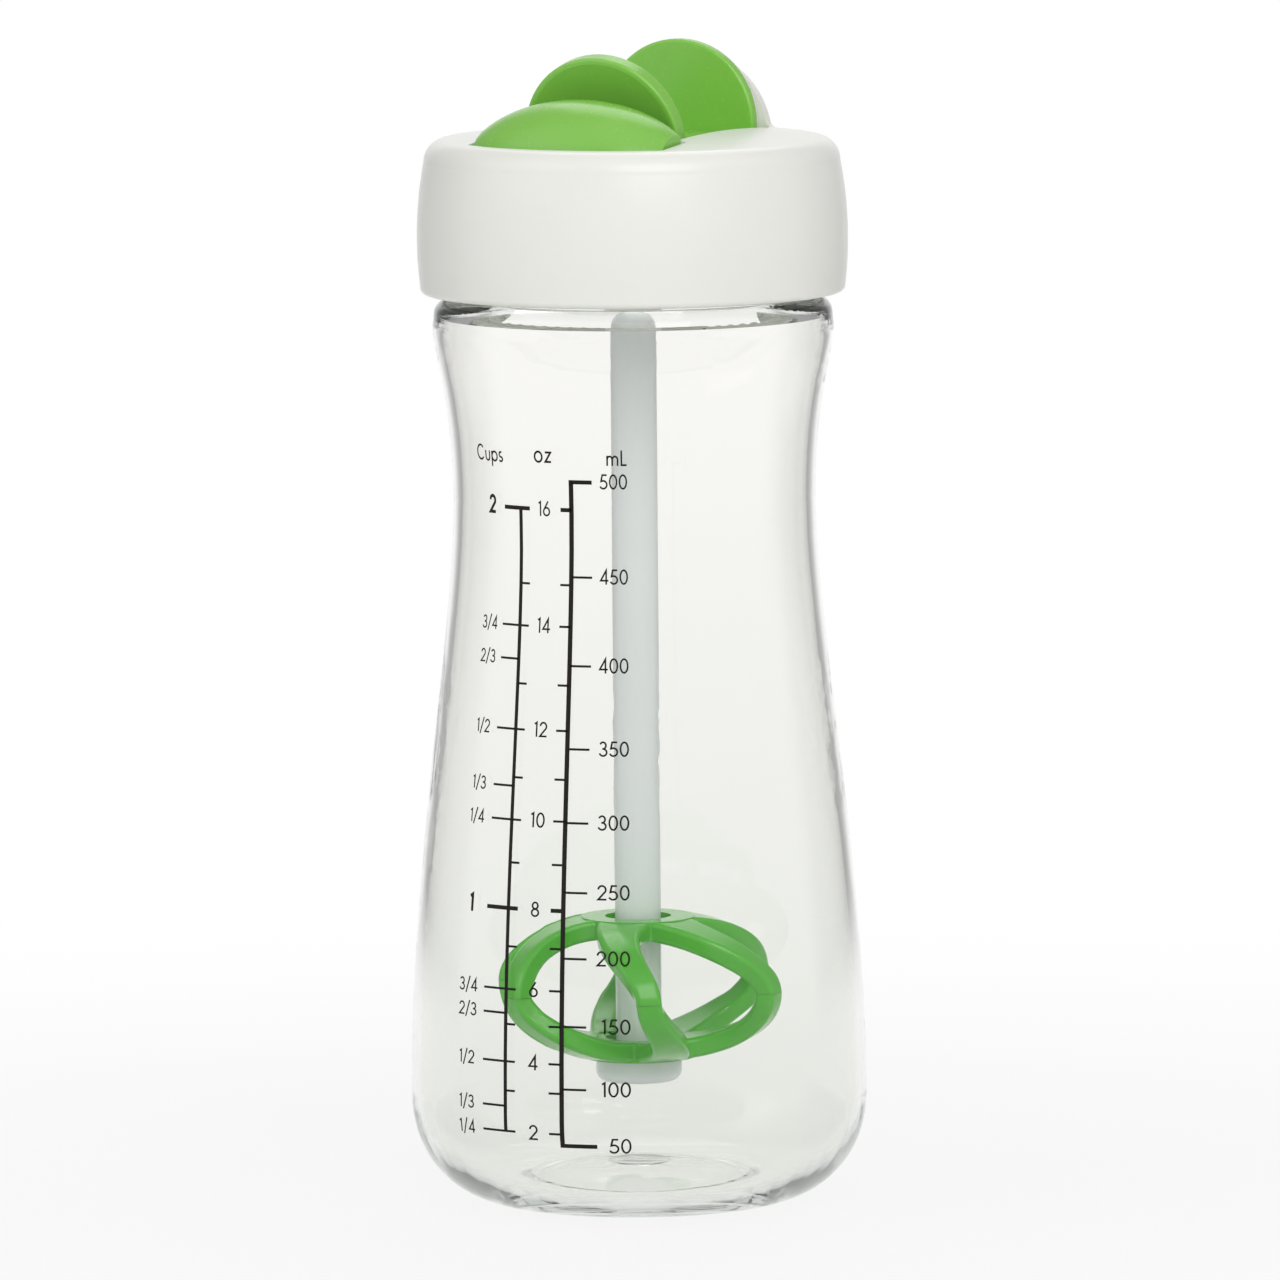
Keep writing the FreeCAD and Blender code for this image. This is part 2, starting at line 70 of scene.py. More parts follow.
def srgb(red: int, green: int, blue: int) -> Colour:
    """Gives the linear colour of a display colour.

    Args:
        red: Red from 0 to 255.
        green: Green from 0 to 255.
        blue: Blue from 0 to 255.

    Returns:
        The linear colour with full alpha.
    """
    linear = []
    for channel in (red, green, blue):
        share = channel / 255.0
        linear.append(share / 12.92 if share <= 0.04045 else ((share + 0.055) / 1.055) ** 2.4)
    return (linear[0], linear[1], linear[2], 1.0)


def pick(*objects: bpy.types.Object) -> None:
    """Selects only these objects and makes the first one active.

    Args:
        objects: The objects to select.
    """
    bpy.ops.object.select_all(action="DESELECT")
    for chosen in objects:
        chosen.select_set(True)
    bpy.context.view_layer.objects.active = objects[0]


def apply_modifiers(piece: bpy.types.Object) -> None:
    """Applies every modifier of a piece in its order.

    Args:
        piece: The piece whose modifiers are applied.
    """
    pick(piece)
    for name in [modifier.name for modifier in piece.modifiers]:
        bpy.ops.object.modifier_apply(modifier=name)


def settle(piece: bpy.types.Object) -> None:
    """Puts a piece's place, turn and scale into its mesh."""
    pick(piece)
    bpy.ops.object.transform_apply(location=True, rotation=True, scale=True)


class NodeSheet:
    """A node tree with short ways to add and join nodes."""

    def __init__(self, tree: bpy.types.NodeTree) -> None:
        """Takes the tree to draw in."""
        self.tree = tree

    def add(self, kind: str, inputs: dict | None = None, **settings: object) -> bpy.types.Node:
        """Adds one node.

        Args:
            kind: The node's type name.
            inputs: Values or sockets for its inputs, by name or number.
            settings: The node's own properties.

        Returns:
            The new node.
        """
        node = self.tree.nodes.new(kind)
        for name, value in settings.items():
            setattr(node, name, value)
        for key, value in (inputs or {}).items():
            if isinstance(value, bpy.types.NodeSocket):
                self.tree.links.new(value, node.inputs[key])
            else:
                node.inputs[key].default_value = value
        return node

    def join(self, source: bpy.types.NodeSocket, target: bpy.types.NodeSocket) -> None:
        """Links one output to one input."""
        self.tree.links.new(source, target)


class MouldedSurface:
    """Shared node group: slow clouding of the colour, and fine grain for gloss and relief."""

    NAME = "moulded_surface"
    INPUTS = (
        ("Colour", "NodeSocketColor"),
        ("Shade", "NodeSocketColor"),
        ("Cloud Scale", "NodeSocketFloat"),
        ("Grain Scale", "NodeSocketFloat"),
        ("Roughness", "NodeSocketFloat"),
        ("Roughness Spread", "NodeSocketFloat"),
    )
    OUTPUTS = (
        ("Colour", "NodeSocketColor"),
        ("Roughness", "NodeSocketFloat"),
        ("Height", "NodeSocketFloat"),
    )

    @classmethod
    def group(cls) -> bpy.types.NodeTree:
        """Gives the group, drawn the first time it is asked for.

        Returns:
            The shared node group.
        """
        made = bpy.data.node_groups.get(cls.NAME)
        if made:
            return made
        tree = bpy.data.node_groups.new(cls.NAME, "ShaderNodeTree")
        for name, kind in cls.INPUTS:
            tree.interface.new_socket(name, in_out="INPUT", socket_type=kind)
        for name, kind in cls.OUTPUTS:
            tree.interface.new_socket(name, in_out="OUTPUT", socket_type=kind)
        sheet = NodeSheet(tree)
        given = sheet.add("NodeGroupInput")
        place = sheet.add("ShaderNodeTexCoord").outputs["Object"]
        cloud = sheet.add(
            "ShaderNodeTexNoise",
            {"Vector": place, "Scale": given.outputs["Cloud Scale"], "Detail": 3.0},
        )
        grain = sheet.add(
            "ShaderNodeTexNoise",
            {"Vector": place, "Scale": given.outputs["Grain Scale"], "Detail": 2.0},
        )
        tint = sheet.add(
            "ShaderNodeMix",
            {0: cloud.outputs["Fac"], 6: given.outputs["Colour"], 7: given.outputs["Shade"]},
            data_type="RGBA",
        )
        centred = sheet.add(
            "ShaderNodeMath", {0: grain.outputs["Fac"], 1: 0.5}, operation="SUBTRACT"
        )
        gloss = sheet.add(
            "ShaderNodeMath",
            {
                0: centred.outputs[0],
                1: given.outputs["Roughness Spread"],
                2: given.outputs["Roughness"],
            },
            operation="MULTIPLY_ADD",
        )
        sheet.add(
            "NodeGroupOutput",
            {
                "Colour": tint.outputs[2],
                "Roughness": gloss.outputs[0],
                "Height": grain.outputs["Fac"],
            },
        )
        return tree


@dataclass(frozen=True)
class Grain:
    """How the moulded surface varies."""

    cloud_scale: float = 55.0
    grain_scale: float = 900.0
    roughness: float = 0.3
    roughness_spread: float = 0.12
    relief: float = 0.00004
    relief_strength: float = 0.08


def surface_of(sheet: NodeSheet, colour: Colour, shade: Colour, grain: Grain) -> bpy.types.Node:
    """Places the shared surface group in a material.

    Args:
        sheet: The material's sheet.
        colour: The main colour.
        shade: The colour that the clouding leans to.
        grain: How gloss and relief vary.

    Returns:
        The group's node.
    """
    node = sheet.add("ShaderNodeGroup", node_tree=MouldedSurface.group())
    node.inputs["Colour"].default_value = colour
    node.inputs["Shade"].default_value = shade
    node.inputs["Cloud Scale"].default_value = grain.cloud_scale
    node.inputs["Grain Scale"].default_value = grain.grain_scale
    node.inputs["Roughness"].default_value = grain.roughness
    node.inputs["Roughness Spread"].default_value = grain.roughness_spread
    return node


def relief_of(sheet: NodeSheet, surface: bpy.types.Node, grain: Grain) -> bpy.types.NodeSocket:
    """Turns the surface group's height into a normal.

    Args:
        sheet: The material's sheet.
        surface: The surface group's node.
        grain: How deep the relief is.

    Returns:
        The normal.
    """
    bump = sheet.add(
        "ShaderNodeBump",
        {
            "Height": surface.outputs["Height"],
            "Strength": grain.relief_strength,
            "Distance": grain.relief,
        },
    )
    return bump.outputs["Normal"]


def fresh_material(name: str) -> tuple[bpy.types.Material, NodeSheet, bpy.types.Node]:
    """Makes an empty node material with an output.

    Args:
        name: The material's name.

    Returns:
        The material, its sheet and its output node.
    """
    material = bpy.data.materials.new(name)
    material.use_nodes = True
    material.node_tree.nodes.clear()
    sheet = NodeSheet(material.node_tree)
    return material, sheet, sheet.add("ShaderNodeOutputMaterial")


@dataclass(frozen=True)
class MouldedPlastic:
    """An opaque moulded plastic or silicone."""

    name: str
    colour: Colour
    shade: Colour
    grain: Grain = field(default_factory=Grain)
    subsurface: float = 0.0
    glow_depth: float = 0.0015
    coat: float = 0.0
    coat_roughness: float = 0.08
    ior: float = 1.48
    gleam: float = 0.5

    def build(self) -> bpy.types.Material:
        """Makes the material.

        Returns:
            The finished material.
        """
        material, sheet, output = fresh_material(self.name)
        surface = surface_of(sheet, self.colour, self.shade, self.grain)
        normal = relief_of(sheet, surface, self.grain)
        shader = sheet.add(
            "ShaderNodeBsdfPrincipled",
            {
                "Base Color": surface.outputs["Colour"],
                "Roughness": surface.outputs["Roughness"],
                "Normal": normal,
                "IOR": self.ior,
                "Specular IOR Level": self.gleam,
                "Subsurface Weight": self.subsurface,
                "Subsurface Radius": (1.0, 1.0, 1.0),
                "Subsurface Scale": self.glow_depth,
                "Coat Weight": self.coat,
                "Coat Roughness": self.coat_roughness,
            },
        )
        sheet.join(shader.outputs["BSDF"], output.inputs["Surface"])
        return material


@dataclass(frozen=True)
class ClearPlastic:
    """The bottle's clear wall: greyer towards the base as painted shade, tinted by its depth, open
    to lamplight.
    """

    name: str
    grain: Grain
    # painted shade: the wall's own slight tint, darkened towards the base; the colour runs from
    # low_tint at low_height up to high_tint at high_height
    low_tint: Colour = (0.928, 0.934, 0.908, 1.0)
    high_tint: Colour = (0.985, 0.982, 0.966, 1.0)
    low_height: float = 0.04
    high_height: float = 0.15
    mirror_tint: Colour = (0.45, 0.45, 0.45, 1.0)
    ior: float = 1.53
    tint: Colour = (0.69, 0.71, 0.70, 1.0)
    tint_density: float = 26.0
    passed_light: Colour = (0.97, 0.98, 0.97, 1.0)

    def build(self) -> bpy.types.Material:
        """Makes the material.

        Returns:
            The finished material.
        """
        material, sheet, output = fresh_material(self.name)
        place = sheet.add("ShaderNodeTexCoord").outputs["Object"]
        height = sheet.add("ShaderNodeSeparateXYZ", {"Vector": place}).outputs["Z"]
        # painted shade: the wall's colour is blended darker from high_height down to low_height
        rise = sheet.add(
            "ShaderNodeMapRange",
            {"Value": height, "From Min": self.low_height, "From Max": self.high_height},
        )
        painted_shade_grade = sheet.add(
            "ShaderNodeMix",
            {0: rise.outputs["Result"], 6: self.low_tint, 7: self.high_tint},
            data_type="RGBA",
        )
        surface = surface_of(sheet, self.high_tint, self.high_tint, self.grain)
        sheet.join(painted_shade_grade.outputs[2], surface.inputs["Colour"])
        sheet.join(painted_shade_grade.outputs[2], surface.inputs["Shade"])
        normal = relief_of(sheet, surface, self.grain)
        shader = sheet.add(
            "ShaderNodeBsdfPrincipled",
            {
                "Base Color": surface.outputs["Colour"],
                "Roughness": surface.outputs["Roughness"],
                "Normal": normal,
                "IOR": self.ior,
                "Specular Tint": self.mirror_tint,
                "Transmission Weight": 1.0,
            },
        )
        open_wall = sheet.add("ShaderNodeBsdfTransparent", {"Color": self.passed_light})
        path = sheet.add("ShaderNodeLightPath")
        lit = sheet.add(
            "ShaderNodeMath",
            {0: path.outputs["Is Shadow Ray"], 1: path.outputs["Is Diffuse Ray"]},
            operation="MAXIMUM",
        )
        wall = sheet.add(
            "ShaderNodeMixShader",
            {0: lit.outputs[0], 1: shader.outputs["BSDF"], 2: open_wall.outputs["BSDF"]},
        )
        depth = sheet.add(
            "ShaderNodeVolumeAbsorption", {"Color": self.tint, "Density": self.tint_density}
        )
        sheet.join(wall.outputs[0], output.inputs["Surface"])
        sheet.join(depth.outputs[0], output.inputs["Volume"])
        return material


@dataclass(frozen=True)
class DrawnSteel:
    """The hinge pin's drawn wire, with fine lines along its length."""

    name: str
    colour: Colour
    shade: Colour
    lines_across: float = 2600.0
    lines_along: float = 60.0
    smooth: float = 0.22
    rough: float = 0.42

    def build(self) -> bpy.types.Material:
        """Makes the material.

        Returns:
            The finished material.
        """
        material, sheet, output = fresh_material(self.name)
        place = sheet.add("ShaderNodeTexCoord").outputs["Object"]
        stretched = sheet.add(
            "ShaderNodeMapping",
            {"Vector": place, "Scale": (self.lines_across, self.lines_along, self.lines_across)},
        )
        lines = sheet.add(
            "ShaderNodeTexNoise", {"Vector": stretched.outputs[0], "Scale": 1.0, "Detail": 2.0}
        )
        tint = sheet.add(
            "ShaderNodeMix",
            {0: lines.outputs["Fac"], 6: self.colour, 7: self.shade},
            data_type="RGBA",
        )
        gloss = sheet.add(
            "ShaderNodeMapRange",
            {"Value": lines.outputs["Fac"], "To Min": self.smooth, "To Max": self.rough},
        )
        shader = sheet.add(
            "ShaderNodeBsdfPrincipled",
            {
                "Base Color": tint.outputs[2],
                "Roughness": gloss.outputs["Result"],
                "Metallic": 1.0,
            },
        )
        sheet.join(shader.outputs["BSDF"], output.inputs["Surface"])
        return material


class Finishes:
    """Every finish of the object."""

    def __init__(self) -> None:
        """Makes each material once."""
        self.clear = ClearPlastic(
            "clear_wall",
            Grain(40.0, 60.0, 0.02, 0.02, 0.00001, 0.03),
        ).build()
        self.white = MouldedPlastic(
            "cap_white",
            srgb(243, 243, 238),
            srgb(238, 238, 231),
            Grain(45.0, 1400.0, 0.32, 0.10),
            subsurface=0.12,
            coat=0.1,
        ).build()
        self.liner = MouldedPlastic(
            "liner_white",
            srgb(247, 247, 242),
            srgb(243, 243, 237),
            Grain(45.0, 1400.0, 0.42, 0.12),
        ).build()
        self.lever = MouldedPlastic(
            "lever_green",
            srgb(138, 202, 82),
            srgb(128, 196, 76),
            Grain(50.0, 1500.0, 0.26, 0.08),
            subsurface=0.3,
            coat=0.08,
        ).build()
        self.whisk = MouldedPlastic(
            "whisk_green",
            srgb(84, 190, 36),
            srgb(74, 183, 32),
            Grain(70.0, 1500.0, 0.16, 0.06),
            subsurface=0.15,
            glow_depth=0.002,
            coat=0.05,
        ).build()
        self.pale = MouldedPlastic(
            "tube_pale",
            srgb(241, 244, 246),
            srgb(236, 240, 242),
            Grain(60.0, 1100.0, 0.20, 0.08),
            subsurface=0.3,
            glow_depth=0.002,
        ).build()
        self.seal = MouldedPlastic(
            "seal_silicone",
            srgb(232, 233, 228),
            srgb(222, 223, 218),
            Grain(80.0, 2200.0, 0.58, 0.16, 0.00006, 0.15),
            ior=1.41,
        ).build()
        self.steel = DrawnSteel("pin_steel", srgb(205, 205, 207), srgb(176, 176, 180)).build()
        self.ink = MouldedPlastic(
            "scale_ink",
            srgb(34, 30, 26),
            srgb(26, 23, 20),
            Grain(300.0, 4000.0, 0.45, 0.2, 0.00001, 0.1),
            gleam=0.15,
        ).build()


def dress(node: str, material: bpy.types.Material) -> None:
    """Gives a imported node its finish.

    Args:
        node: The node's name.
        material: The finish.
    """
    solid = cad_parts[node]
    if solid.material_slots:
        for worn in solid.material_slots:
            worn.material = material
    else:
        solid.data.materials.append(material)
    log.info("dressed %s with %s", node, material.name)


@dataclass
class BottleBody:
    """The clear bottle."""

    finishes: Finishes
    probe_start: float = 0.2

    def dress(self) -> None:
        """Gives the bottle its clear wall."""
        dress("bottle", self.finishes.clear)

    def radius(self, height: float, angle: float) -> float:
        """Measures the bottle's outside radius.

        Args:
            height: Height above the base in metres.
            angle: Direction around the bottle in radians.

        Returns:
            The radius in metres.
        """
        outward = Vector((math.cos(angle), math.sin(angle), 0.0))
        start = outward * self.probe_start + Vector((0.0, 0.0, height))
        hit, place, _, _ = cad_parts["bottle"].ray_cast(start, -outward)
        if not hit:
            raise ValueError(f"the bottle has no wall at {height} m")
        return math.hypot(place.x, place.y)


@dataclass
class CapAssembly:
    """The screw cap with its liner, gasket, lever, pin and seal."""

    finishes: Finishes

    def dress(self) -> None:
        """Gives each piece of the cap its finish."""
        dress("cap_cover", self.finishes.white)
        dress("cap_base", self.finishes.liner)
        dress("cap_gasket", self.finishes.seal)
        dress("spout_lever", self.finishes.lever)
        dress("spout_seal", self.finishes.seal)
        dress("lever_pin", self.finishes.steel)


@dataclass
class MixerAssembly:
    """The hanging tube, its foot and the loose mixing head."""

    finishes: Finishes

    def dress(self) -> None:
        """Gives the tube, the foot and both halves of the head their finish."""
        dress("mixing_tube", self.finishes.pale)
        dress("tube_foot", self.finishes.pale)
        dress("whisk_upper", self.finishes.whisk)
        dress("whisk_lower", self.finishes.whisk)


@dataclass(frozen=True)
class Arc:
    """Part of an ellipse in a character's box, from one angle to another in degrees."""

    x: float
    y: float
    across: float
    up: float
    start: float
    end: float

    def points(self) -> list[Point]:
        """Gives points along the arc.

        Returns:
            Points at most ARC_STEP degrees apart.
        """
        steps = max(2, math.ceil(abs(self.end - self.start) / ARC_STEP))
        found = []
        for step in range(steps + 1):
            turn = math.radians(self.start + (self.end - self.start) * step / steps)
            found.append((self.x + self.across * math.cos(turn), self.y + self.up * math.sin(turn)))
        return found


@dataclass(frozen=True)
class Character:
    """A printed character of plain strokes: its width and its strokes, for a height of one."""

    width: float
    strokes: tuple[tuple[Arc | Point, ...], ...]

    def lines(self) -> list[list[Point]]:
        """Gives each stroke as a run of points.

        Returns:
            One list of points for each stroke.
        """
        runs = []
        for stroke in self.strokes:
            run: list[Point] = []
            for part in stroke:
                run += part.points() if isinstance(part, Arc) else [part]
            runs.append(run)
        return runs


CHARACTERS: dict[str, Character] = {
    "0": Character(0.62, ((Arc(0.31, 0.50, 0.26, 0.45, 90, 450),),)),
    "1": Character(0.30, (((0.03, 0.84), (0.20, 0.95), (0.20, 0.0)),)),
    "2": Character(0.60, ((Arc(0.30, 0.69, 0.24, 0.26, 175, -25), (0.05, 0.05), (0.58, 0.05)),)),
    "3": Character(
        0.58,
        (
            (Arc(0.27, 0.73, 0.20, 0.22, 160, -80), (0.22, 0.52)),
            ((0.22, 0.52), Arc(0.27, 0.28, 0.25, 0.23, 85, -165)),
        ),
    ),
    "4": Character(0.64, (((0.47, 0.0), (0.47, 0.93), (0.06, 0.26), (0.64, 0.26)),)),
    "5": Character(
        0.60,
        (((0.54, 0.95), (0.20, 0.95), (0.11, 0.53), Arc(0.28, 0.31, 0.27, 0.26, 118, -155)),),
    ),
    "6": Character(
        0.60,
        (((0.44, 1.0), (0.10, 0.45)), (Arc(0.30, 0.31, 0.25, 0.26, 145, 505),)),
    ),
    "8": Character(
        0.58,
        (
            (Arc(0.29, 0.74, 0.19, 0.21, 90, 450),),
            (Arc(0.29, 0.28, 0.24, 0.23, 90, 450),),
        ),
    ),
    "/": Character(0.42, (((0.02, -0.14), (0.40, 1.12)),)),
    "C": Character(0.86, ((Arc(0.46, 0.50, 0.41, 0.45, 42, 318),),)),
    "L": Character(0.48, (((0.08, 1.0), (0.08, 0.05), (0.46, 0.05)),)),
    "m": Character(
        0.92,
        (
            ((0.08, 0.0), (0.08, 0.66)),
            ((0.08, 0.38), Arc(0.265, 0.40, 0.185, 0.21, 180, 0), (0.45, 0.0)),
            ((0.45, 0.38), Arc(0.645, 0.40, 0.195, 0.21, 180, 0), (0.84, 0.0)),
        ),
    ),
    "o": Character(0.66, ((Arc(0.33, 0.32, 0.27, 0.29, 90, 450),),)),
    "p": Character(
        0.66,
        (((0.08, -0.32), (0.08, 0.64)), (Arc(0.35, 0.32, 0.27, 0.29, 180, 540),)),
    ),
    "s": Character(
        0.44,
        ((Arc(0.22, 0.46, 0.14, 0.15, 50, 265), Arc(0.21, 0.17, 0.16, 0.14, 85, -150)),),
    ),
    "u": Character(
        0.58,
        (((0.08, 0.64), Arc(0.29, 0.24, 0.21, 0.21, 180, 360), (0.50, 0.64)),),
    ),
    "z": Character(0.52, (((0.06, 0.58), (0.45, 0.58), (0.06, 0.05), (0.47, 0.05)),)),
}


@dataclass(frozen=True)
class Column:
    """An angle around the bottle, in degrees from the middle of the print, that leans a little."""

    low: float
    high: float

    def angle(self, share: float) -> float:
        """Gives the column's angle.

        Args:
            share: Height in the print, from 0 at its foot to 1 at its top.

        Returns:
            The angle in degrees.
        """
        return self.low + (self.high - self.low) * share * share


@dataclass(frozen=True)
class Tick:
    """One printed tick: its height in millimetres, its two columns and its weight."""

    height: float
    start: Column
    end: Column
    weight: Weight = Weight.PLAIN


@dataclass(frozen=True)
class Label:
    """One printed label: its text, height in millimetres, column, weight and alignment."""

    text: str
    height: float
    column: Column
    weight: Weight = Weight.PLAIN
    align: Align = Align.MIDDLE
    cap_height: float = CAP_HEIGHT


@dataclass
class PrintedScale:
    """The volume scale printed on the bottle: three columns of ticks and numbers."""

    bottle: BottleBody
    ink: bpy.types.Material
    middle: float = 206.0
    low: float = 14.8
    high: float = 129.6
    stand_off: float = 46.0
    lift: float = 0.008
    thickness: float = 0.022
    stroke: float = 0.32
    bold_stroke: float = 0.48
    tick_width: float = 0.40
    bold_tick_width: float = 0.72
    line_width: float = 0.84
    thin_line_width: float = 0.72
    grid_step: float = 0.5
    tall_grid_step: float = 1.5
    letter_gap: float = 0.12
    reference_radius: float = 36.5
    line_column: Column = Column(-19.7, -20.2)
    ml_end: Column = Column(-13.3, -13.4)
    ml_foot_end: Column = Column(-10.7, -10.7)
    ml_number: Column = Column(-2.1, -2.3)
    oz_end: Column = Column(-23.2, -23.9)
    oz_number: Column = Column(-27.5, -29.8)
    cup_line: Column = Column(-35.6, -38.7)
    cup_left: Column = Column(-42.9, -45.4)
    cup_right: Column = Column(-32.7, -35.1)
    cup_number: Column = Column(-48.8, -51.0)
    ml_number_rise: float = 0.15
    oz_number_rise: float = 0.1
    whole_cup_rise: float = 0.35
    part_cup_rise: float = 0.1
    whole_cup_height: float = 3.1
    part_cup_height: float = 2.3
    glyphs: dict[tuple[str, Weight], bpy.types.Object] = field(default_factory=dict)

    ML = {
        500: 129.6, 450: 113.1, 400: 97.8, 350: 83.5, 300: 70.8,
        250: 58.8, 200: 47.4, 150: 35.6, 100: 24.7, 50: 14.8,
    }
    OZ = {
        16: 124.7, 15: 111.7, 14: 104.5, 13: 94.4, 12: 86.6, 11: 78.2, 10: 71.0, 9: 63.5,
        8: 55.6, 7: 49.0, 6: 41.7, 5: 35.5, 4: 29.0, 3: 23.9, 2: 16.8,
    }
    CUPS = (
        ("2", 124.7), ("3/4", 104.4), ("2/3", 98.6), ("1/2", 86.5), ("1/3", 76.7), ("1/4", 70.9),
        ("1", 55.6), ("3/4", 41.6), ("2/3", 37.4), ("1/2", 29.0), ("1/3", 21.2), ("1/4", 16.8),
    )
    THIRDS = ("2/3", "1/3")
    WHOLE_CUPS = ("2", "1")
    WHOLE_OUNCES = (16, 8)
    END_VOLUMES = (500, 50)
    FOOT_VOLUME = 50
    HEADINGS = (
        Label("Cups", 133.9, Column(-51.6, -51.6), cap_height=2.8),
        Label("oz", 134.4, Column(-29.6, -29.6), cap_height=3.1),
        Label("mL", 133.9, Column(-5.5, -5.5), cap_height=2.7),
    )

    def share(self, height: float) -> float:
        """Gives a height's place in the print, from 0 at its foot to 1 at its top."""
        return min(1.0, max(0.0, (height - self.low) / (self.high - self.low)))

    def turn(self, column: Column, height: float) -> float:
        """Gives a column's direction around the bottle in radians at a height in millimetres."""
        return math.radians(self.middle + column.angle(self.share(height)))

    def place(self, piece: bpy.types.Object, turn: float, height: float) -> None:
        """Stands a flat piece upright in front of the bottle, facing outwards.

        Args:
            piece: The flat piece, drawn in its own XY plane.
            turn: Direction around the bottle in radians.
            height: Height of the piece's origin in millimetres.
        """
        reach = self.stand_off * MILLIMETRE
        piece.location = (reach * math.cos(turn), reach * math.sin(turn), height * MILLIMETRE)
        piece.rotation_euler = (math.pi / 2, 0.0, turn + math.pi / 2)

    def lay_on(self, piece: bpy.types.Object) -> None:
        """Lays a placed flat piece on the bottle's wall and gives it the ink's thickness.

        Args:
            piece: The piece, standing in front of the wall.
        """
        wrap = piece.modifiers.new("lay", "SHRINKWRAP")
        wrap.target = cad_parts["bottle"]
        wrap.wrap_method = "PROJECT"
        wrap.use_project_z = True
        wrap.use_negative_direction = True
        wrap.use_positive_direction = False
        wrap.wrap_mode = "ABOVE_SURFACE"
        wrap.offset = self.lift * MILLIMETRE
        ink = piece.modifiers.new("ink", "SOLIDIFY")
        ink.thickness = self.thickness * MILLIMETRE
        ink.offset = 1.0
        apply_modifiers(piece)
        settle(piece)

    def sheet(self, name: str, width: float, height: float) -> bpy.types.Object:
        """Draws a flat rectangle of small faces.

        Args:
            name: The rectangle's name.
            width: Its width in millimetres.
            height: Its height in millimetres.

        Returns:
            The flat rectangle at the origin.
        """
        bpy.ops.object.select_all(action="DESELECT")
        bpy.ops.mesh.primitive_grid_add(
            x_subdivisions=max(2, math.ceil(width / self.grid_step)),
            y_subdivisions=max(2, math.ceil(height / self.tall_grid_step)),
            size=1.0,
        )
        drawn = bpy.context.object
        drawn.name = name
        drawn.scale = (width * MILLIMETRE, height * MILLIMETRE, 1.0)
        settle(drawn)
        return drawn

    def line(
        self, name: str, column: Column, low: float, high: float, width: float
    ) -> bpy.types.Object:
        """Prints one long upright line.

        Args:
            name: The line's name.
            column: Where it stands.
            low: Its lower end in millimetres.
            high: Its upper end in millimetres.
            width: Its width in millimetres.

        Returns:
            The line on the bottle.
        """
        drawn = self.sheet(name, width, high - low)
        centre = (low + high) / 2
        turn = self.turn(column, centre)
        for corner in drawn.data.vertices:
            height = centre + corner.co.y / MILLIMETRE
            away = self.turn(column, height) - turn
            corner.co.x += self.bottle.radius(height * MILLIMETRE, turn) * math.sin(away)
        self.place(drawn, turn, centre)
        self.lay_on(drawn)
        return drawn

    def tick(self, mark: Tick) -> bpy.types.Object:
        """Prints one tick.

        Args:
            mark: The tick's height, columns and weight.

        Returns:
            The tick on the bottle.
        """
        start = self.turn(mark.start, mark.height)
        end = self.turn(mark.end, mark.height)
        turn = (start + end) / 2
        radius = self.bottle.radius(mark.height * MILLIMETRE, turn) / MILLIMETRE
        bold = mark.weight is Weight.BOLD
        drawn = self.sheet(
            "tick",
            2 * radius * math.sin(abs(end - start) / 2),
            self.bold_tick_width if bold else self.tick_width,
        )
        self.place(drawn, turn, mark.height)
        self.lay_on(drawn)
        return drawn

    def nib(self, half: float) -> bpy.types.Object:
        """Draws the straight nib that gives the strokes their width.

        Args:
            half: Half its width, for a character of height one.

        Returns:
            The nib's curve.
        """
        curve = bpy.data.curves.new("nib", "CURVE")
        curve.dimensions = "2D"
        edge = curve.splines.new("POLY")
        edge.points.add(1)
        edge.points[0].co = (-half, 0.0, 0.0, 1.0)
        edge.points[1].co = (half, 0.0, 0.0, 1.0)
        holder = bpy.data.objects.new("nib", curve)
        bpy.context.scene.collection.objects.link(holder)
        return holder

    def glyph(self, letter: str, weight: Weight) -> bpy.types.Object:
        """Draws one character of height one, once for each weight.

        Args:
            letter: The character.
            weight: Its stroke weight.

        Returns:
            A flat mesh of the character's strokes.
        """
        if (letter, weight) in self.glyphs:
            return self.glyphs[letter, weight]
        width = self.bold_stroke if weight is Weight.BOLD else self.stroke
        nib = self.nib(width / 2 / CAP_HEIGHT)
        path = bpy.data.curves.new("strokes", "CURVE")
        path.dimensions = "2D"
        path.fill_mode = "NONE"
        path.bevel_mode = "OBJECT"
        path.bevel_object = nib
        for run in CHARACTERS[letter].lines():
            closed = math.dist(run[0], run[-1]) < SAME_POINT
            kept = run[:-1] if closed else run
            stroke = path.splines.new("POLY")
            stroke.points.add(len(kept) - 1)
            for target, (x, y) in zip(stroke.points, kept):
                target.co = (x, y, 0.0, 1.0)
            stroke.use_cyclic_u = closed
        drawn = bpy.data.objects.new(f"glyph_{weight.value}", path)
        bpy.context.scene.collection.objects.link(drawn)
        pick(drawn)
        bpy.ops.object.convert(target="MESH")
        self.flatten(drawn)
        bpy.data.objects.remove(nib)
        self.glyphs[letter, weight] = drawn
        return drawn

    def flatten(self, drawn: bpy.types.Object) -> None:
        """Merges a character's strokes and turns all its faces to the front.

        Args:
            drawn: The character's flat mesh.
        """
        pick(drawn)
        bpy.ops.object.mode_set(mode="EDIT")
        bpy.ops.mesh.select_all(action="SELECT")
        bpy.ops.mesh.remove_doubles(threshold=MERGE_DISTANCE)
        bpy.ops.mesh.select_all(action="DESELECT")
        bpy.ops.object.mode_set(mode="OBJECT")
        for face in drawn.data.polygons:
            face.select = face.normal.z < 0.0
        bpy.ops.object.mode_set(mode="EDIT")
        bpy.ops.mesh.select_mode(type="FACE")
        bpy.ops.mesh.flip_normals()
        bpy.ops.object.mode_set(mode="OBJECT")

